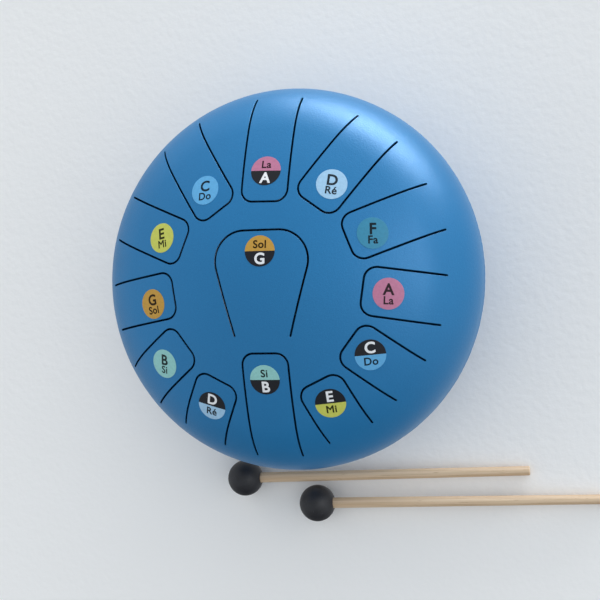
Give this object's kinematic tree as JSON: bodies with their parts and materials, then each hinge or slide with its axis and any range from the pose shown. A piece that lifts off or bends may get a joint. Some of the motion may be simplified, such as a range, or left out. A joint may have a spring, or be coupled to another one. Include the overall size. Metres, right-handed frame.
{
  "type": "steel tongue drum",
  "caption": "Round steel tongue drum: a welded domed shell with tuned tongues cut in its top, note stickers, rubber feet, a sound hole and a pair of ball mallets.",
  "frame": {"origin": "on the drum's axis, in the plane of the lower shell's flat underside, at the centre of the sound hole", "axes": "+Z is the drum's axis, up to the playing face; +Y points from the player to the far side, along the middle tongue; +X to the player's right, along the mallets"},
  "size_m": [0.4009, 0.3603, 0.1561],
  "materials": {
    "blue_powder_coat": "fine satin powder coat",
    "vinyl_pink": "satin printed vinyl",
    "vinyl_mint": "satin printed vinyl",
    "vinyl_blue": "satin printed vinyl",
    "vinyl_light_blue": "satin printed vinyl",
    "vinyl_lime": "satin printed vinyl",
    "vinyl_teal": "satin printed vinyl",
    "vinyl_orange": "satin printed vinyl",
    "foot_rubber": "matte moulded rubber",
    "mallet_rubber": "matte rubber",
    "beech": "plain sanded wood"
  },
  "bodies": {
    "drum": {"upper_shell": "blue_powder_coat", "lower_shell": "blue_powder_coat", "seam_weld": "blue_powder_coat", "sticker_a3": "vinyl_pink", "sticker_b3": "vinyl_mint", "sticker_c4": "vinyl_blue", "sticker_d4": "vinyl_light_blue", "sticker_e4": "vinyl_lime", "sticker_f4": "vinyl_teal", "sticker_g4": "vinyl_orange", "sticker_a4": "vinyl_pink", "sticker_b4": "vinyl_mint", "sticker_c5": "vinyl_blue", "sticker_d5": "vinyl_light_blue", "sticker_e5": "vinyl_lime", "sticker_g3": "vinyl_orange", "foot_1": "foot_rubber", "foot_2": "foot_rubber", "foot_3": "foot_rubber", "foot_4": "foot_rubber"},
    "mallet_1": {"mallet_head_1": "mallet_rubber", "mallet_stick_1": "beech"},
    "mallet_2": {"mallet_head_2": "mallet_rubber", "mallet_stick_2": "beech"}
  },
  "joints": [
    {"name": "mallet_1_lift", "type": "slide", "parent": "drum", "child": "mallet_1", "axis": [0, 0, 1], "range_m": [0, 0.18]},
    {"name": "mallet_2_lift", "type": "slide", "parent": "drum", "child": "mallet_2", "axis": [0, 0, 1], "range_m": [0, 0.18]}
  ]
}
